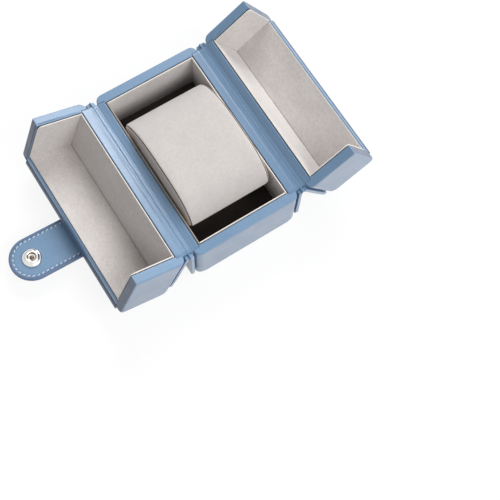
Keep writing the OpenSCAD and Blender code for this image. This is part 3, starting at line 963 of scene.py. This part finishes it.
def strap_profile():
    """Section from the outer face's middle round the edge to the inner face's.

    (inset from the outline, height, whether it is on the outside)
    """
    half_t, edge_r = STRAP_T / 2, STRAP_EDGE_R
    insets = (11, 9.5, 8, 6.5, 5.2, 4.2, 3.7, 3.3, 3.0, 2.6, 2.3, 2.0, 1.6, 1.2)
    outer = [(STRAP_W / 2 * 0.998, half_t)] + [(inset * mm, half_t) for inset in insets]
    outer += [(edge_r - r, half_t - edge_r + h) for r, h in arc((0, 0), edge_r, 90, 12, 5)]
    outer += [(0.12 * mm, 0.07 * mm)]
    return ([(inset, height, True) for inset, height in outer]
            + [(0.2 * mm, 0, True)]
            + [(inset, -height, False) for inset, height in reversed(outer)])


def strap():
    half, half_t = STRAP_W / 2, STRAP_T / 2
    rings = []
    for inset, height, outside in strap_profile():
        on_face = abs(height) > half_t - 0.01 * mm
        share = inset / half
        ring = []
        for (x, y), (spine_x, spine_y) in strap_outline():
            x, y = x + (spine_x - x) * share, y + (spine_y - y) * share
            relief = strap_relief(inset, x, y, outside) if on_face else 0
            ring.append((x, y, height - math.copysign(relief, height)))
        rings.append(ring)
    mesh = skin(rings)
    mesh.normal_update()
    # Painted shade on the strap's edge and on its border outside the seam
    for face in mesh.faces:
        x, y, _ = face.calc_center_median()
        past_seam = math.hypot(max(0, x - STRAP_TIP_X), y) > half - STRAP_SEAM
        if past_seam or abs(face.normal.z) < 0.8:
            face.material_index = BORDER_SHADE
    made = piece("strap_leather", mesh, blue_leather, strap_edge_shade, at=strap_place(), sharp=60)
    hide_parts("strap_outer_leather", "strap_inner_leather")
    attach(made, "strap")


# ---- Stitching ----

LID_PITCH, STRAP_PITCH = 3.2 * mm, 2.7 * mm
THREAD_R = 0.29 * mm
STITCH_SIDES, STITCH_STEPS = 8, 8
STITCH_SLANT = 14
# Rim, wall and bottom of a needle hole, a dark dimple that stands in for the hole's shade: (radius,
# height)
NEEDLE_HOLE = ((0.38 * mm, 0), (0.34 * mm, 0.12 * mm), (0.02 * mm, 0.13 * mm))
HOLE = 1


def add_stitch(mesh, middle, along, up, length):
    """One stitch of thread that rises from a needle hole and dives into the next, with both."""
    slant = Matrix.Rotation(math.radians(STITCH_SLANT), 3, up)
    along, side = slant @ along, slant @ up.cross(along).normalized()
    angles = full_turn(STITCH_SIDES)
    rings = []
    for step in range(STITCH_STEPS + 1):
        t = step / STITCH_STEPS * 2 - 1
        rise = 0.24 * mm * (1 - t ** 4) - 0.16 * mm
        centre = middle + along * (t * length / 2) + up * rise
        width = THREAD_R * (1 - 0.35 * t ** 6)
        rings.append([centre + side * (width * math.cos(a)) + up * (width * 0.8 * math.sin(a))
                      for a in angles])
    add_skin(mesh, rings)
    # Dark dimples at both ends, painted shade for the needle holes
    for end in (-1, 1):
        centre = middle + along * (end * (length / 2 + 0.12 * mm)) - up * 0.10 * mm
        rings = [[centre + (along * math.cos(a) + side * math.sin(a)) * r + up * h for a in angles]
                 for r, h in NEEDLE_HOLE]
        add_skin(mesh, rings, material=HOLE)


def sew(mesh, points, up, pitch):
    """Stitches at an even pitch along a line of points."""
    lengths = [(b - a).length for a, b in zip(points, points[1:])]
    total = sum(lengths)
    count = max(1, round(total / pitch))
    for number in range(count):
        target = (number + 0.5) * total / count
        for start, end, length in zip(points, points[1:], lengths):
            if target <= length:
                along = (end - start).normalized()
                add_stitch(mesh, start.lerp(end, target / length), along, up, 0.7 * pitch)
                break
            target -= length


def lid_stitches(side):
    z = CASE_H - SEAM_DEPTH
    outer_x = -SIDE_X + COVER_EDGE_R - 0.5 * mm
    end_y = SHEET_Y - SEAM_INSET
    run = end_y - 0.4 * mm
    mesh = bmesh.new()
    for line in (((outer_x, -end_y), (CENTRE_SEAM_X, -end_y)),
                 ((outer_x, end_y), (CENTRE_SEAM_X, end_y)),
                 ((CENTRE_SEAM_X, -run), (CENTRE_SEAM_X, run))):
        sew(mesh, [Vector((x, y, z)) for x, y in line], Vector((0, 0, 1)), LID_PITCH)
    name = side_name(side)
    made = piece(f"{name}_lid_stitching", mesh, white_thread, needle_hole_shade, at=opened(side),
                 sharp=60)
    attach(made, f"{name}_lid")


def strap_stitches():
    half = STRAP_W / 2 - STRAP_SEAM
    root_x = 2.6 * mm
    line = [(root_x, -half)] + arc((STRAP_TIP_X, 0), half, -90, 90, 48) + [(root_x, half)]
    mesh = bmesh.new()
    for level in (1, -1):
        z = level * (STRAP_T / 2 - 0.2 * mm)
        sew(mesh, [Vector((x, y, z)) for x, y in line], Vector((0, 0, level)), STRAP_PITCH)
    made = piece("strap_stitching", mesh, white_thread, needle_hole_shade, at=strap_place(), sharp=60)
    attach(made, "strap")


# ---- Snap fastener ----

# Sections as (radius, height) in mm
SOCKET_RING = [
    (5.35, -0.05), (5.4, 0.25), (5.3, 0.55), (5.05, 0.85), (4.6, 1.15), (4.35, 1.22), (4.2, 1.3),
    (4.05, 1.6), (3.75, 2.0), (3.4, 2.28), (3.05, 2.4), (2.75, 2.36), (2.55, 2.2), (2.5, 1.9),
    (2.5, 0.9), (2.3, 0.62), (2.0, 0.5), (1.3, 0.45), (1.3, -0.05), (5.35, -0.05)]
SOCKET_SPRING = [(2.45, 1.35), (2.42, 1.6), (2.2, 1.72), (1.98, 1.6), (1.95, 1.35), (2.1, 1.15),
                 (2.35, 1.15), (2.45, 1.35)]
SOCKET_EYELET = [(0, 0.98), (0.5, 0.95), (0.95, 0.82), (1.15, 0.6), (1.15, 0), (0.9, -0.8),
                 (0.9, -1.1), (3.3, -1.15), (3.55, -1.3), (3.3, -1.44), (0, -1.45)]
STUD_CAP = [
    (0, 2.05), (0.9, 2.03), (1.5, 1.9), (1.85, 1.62), (1.9, 1.35), (1.78, 1.1), (1.55, 0.9),
    (1.52, 0.62), (1.75, 0.5), (3.2, 0.48), (4.1, 0.4), (4.5, 0.25), (4.6, 0.05), (4.4, -0.04),
    (1.0, -0.04), (0, -0.04)]


def snap_parts():
    stud_low, stud_high = closed_box("snap_stud", RIGHT)
    centre = (stud_low + stud_high) / 2
    on_lid = opened(RIGHT) @ Matrix.Translation((centre.x, centre.y, stud_low.z))
    under_strap = (strap_place() @ Matrix.Translation((SNAP_REACH, 0, -STRAP_T / 2))
                   @ Matrix.Rotation(math.pi, 4, "X"))
    for name, section, finish, body, node in (
            ("snap_socket_ring", SOCKET_RING, bright_nickel, "strap", "snap_socket"),
            ("snap_socket_spring", SOCKET_SPRING, dark_nickel, "strap", None),
            ("snap_socket_eyelet", SOCKET_EYELET, dark_nickel, "strap", "snap_socket_rivet"),
            ("snap_stud_cap", STUD_CAP, bright_nickel, "right_lid", "snap_stud")):
        made = piece(name, turned(section), finish, at=under_strap if body == "strap" else on_lid)
        if node:
            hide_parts(node)
        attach(made, body)


# ---- Cushion ----

cushion_low, cushion_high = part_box("cushion_band")

CUSHION_WAIST, CUSHION_LEAN, CUSHION_TAPER = 27 * mm, 4 * mm, 8 * mm
# How far the far end stands past the CAD solid, where the photo has it
CUSHION_FAR = 1.7 * mm
CUSHION_STEPS = 120
CUSHION_SHRINK, SWELL_CAP = 0.4 * mm, 0.7 * mm
SEAM_X = cushion_high.x - 0.95 * mm
# (distance past the seam, how far the form has drawn in there) in mm
GUSSET = [(-1.6, 0.05), (-0.9, 0.14), (-0.5, 0.28), (-0.25, 0.45), (0.0, 0.95), (0.22, 0.75),
          (0.45, 0.95), (0.7, 1.35), (0.88, 1.9), (0.95, 2.6)]
# (share of the outline, how far the panel falls in there in mm)
SIDE_PANEL = ((0.93, 0.0), (0.8, 0.0), (0.6, 0.1), (0.4, 0.25), (0.2, 0.35), (0.05, 0.4))
GUSSET_SHADE_FACE, SEAM_FACE = 1, 2


def cushion_section(angle, inset):
    """Point (y, z) of the outline: a full crown that leans to the near end, over a tapered foot."""
    crown = math.sin(angle) >= 0
    along_power, high_power = (3, 1.4) if crown else (5, 5)
    middle = (cushion_high.y + cushion_low.y) / 2
    rise = (cushion_high.z - CUSHION_WAIST if crown else CUSHION_WAIST - cushion_low.z) - inset
    along = math.copysign(abs(math.cos(angle)) ** (2 / along_power), math.cos(angle))
    high = math.copysign(abs(math.sin(angle)) ** (2 / high_power), math.sin(angle))
    half_l = (cushion_high.y - cushion_low.y) / 2 - inset + CUSHION_TAPER * min(high, 0)
    half_l += CUSHION_FAR * max(along, 0)
    return middle + half_l * along - CUSHION_LEAN * max(high, 0), CUSHION_WAIST + rise * high


def cushion_mesh(shrink, seams):
    """The band over the top and, at both sides, a narrow gusset between two seams and a panel."""
    seam_x, side_x = SEAM_X - shrink, cushion_high.x - shrink
    half = [(seam_x * share, 0) for share in (0, 0.2, 0.4, 0.6, 0.75, 0.86)]
    half += [(seam_x + x * mm, inset * mm)
             for x, inset in (GUSSET if seams else (GUSSET[0], GUSSET[-1]))]
    rings = [[(x, *cushion_section(angle, shrink + inset)) for angle in full_turn(CUSHION_STEPS)]
             for x, inset in half]
    rim, middle = rings[-1], (cushion_low.y + cushion_high.y) / 2
    for share, fall in SIDE_PANEL:
        rings.append([(side_x - fall * mm, middle + (y - middle) * share,
                       CUSHION_WAIST + (z - CUSHION_WAIST) * share) for _, y, z in rim])
    other = [[(-x, y, z) for x, y, z in ring] for ring in reversed(rings[1:])]
    mesh = skin(other + rings)
    if seams:
        for face in mesh.faces:
            past = abs(face.calc_center_median().x) - seam_x
            # Painted shade: the gusset and side panel past the seam take the darker suede
            if past > 0.12 * mm:
                face.material_index = GUSSET_SHADE_FACE
            elif past > -0.2 * mm:
                face.material_index = SEAM_FACE
    return mesh


def filling(made, voxel, pressure, frames):
    """How cloth under pressure moves each point of an even copy of the form."""
    remesh = made.modifiers.new("even", "REMESH")
    remesh.mode, remesh.voxel_size = "VOXEL", voxel
    with bpy.context.temp_override(object=made, active_object=made, selected_objects=[made]):
        bpy.ops.object.modifier_apply(modifier=remesh.name)
    start = [v.co.copy() for v in made.data.vertices]
    cloth = made.modifiers.new("filling", "CLOTH")
    cloth.settings.use_pressure = True
    cloth.settings.uniform_pressure_force = pressure
    cloth.settings.effector_weights.gravity = 0
    cloth.point_cache.frame_start, cloth.point_cache.frame_end = 1, frames
    scene = bpy.context.scene
    for number in range(1, frames + 1):
        scene.frame_set(number)
    filled = made.evaluated_get(bpy.context.evaluated_depsgraph_get()).to_mesh()
    moves = [vertex.co - first for vertex, first in zip(filled.vertices, start)]
    made.modifiers.remove(cloth)
    scene.frame_set(1)
    return start, moves


def puff(made, start, moves, cap, neighbours=6):
    """Gives the sewn form the outward part of the simulated moves near each point, capped."""
    tree = kdtree.KDTree(len(start))
    for number, point in enumerate(start):
        tree.insert(point, number)
    tree.balance()
    normals = [vertex.normal.copy() for vertex in made.data.vertices]
    for vertex, normal in zip(made.data.vertices, normals):
        move, total = Vector(), 0
        for _, number, distance in tree.find_n(vertex.co, neighbours):
            weight = 1 / (distance + 0.3 * mm) ** 2
            move += moves[number] * weight
            total += weight
        vertex.co += normal * max(0, min(cap, move.dot(normal) / total))


def cushion():
    shrink = CUSHION_SHRINK
    made = piece("watch_cushion", cushion_mesh(shrink, True), cushion_suede, gusset_shade_suede,
                 seam_shadow, sharp=80)
    form = piece("cushion_form", cushion_mesh(shrink, False), cushion_suede)
    form.modifiers.clear()
    start, moves = filling(form, voxel=2.2 * mm, pressure=4.0, frames=20)
    bpy.data.objects.remove(form)
    puff(made, start, moves, SWELL_CAP)
    made.modifiers.clear()
    fine = made.modifiers.new("fine", "SUBSURF")
    fine.levels = fine.render_levels = 1
    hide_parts("cushion_core", "cushion_band", "cushion_side_left", "cushion_side_right")
    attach(made, "cushion")


base_tray()
for lid_side in (LEFT, RIGHT):
    lid_box(lid_side)
    wrap(lid_side)
    hinge_strip(lid_side)
    lid_stitches(lid_side)
linings()
strap()
strap_stitches()
snap_parts()
cushion()
refinish("strap_anchor", wrap_leather)
refinish("snap_stud_rivet", dark_nickel)

bpy.context.scene.view_settings.view_transform = "Standard"
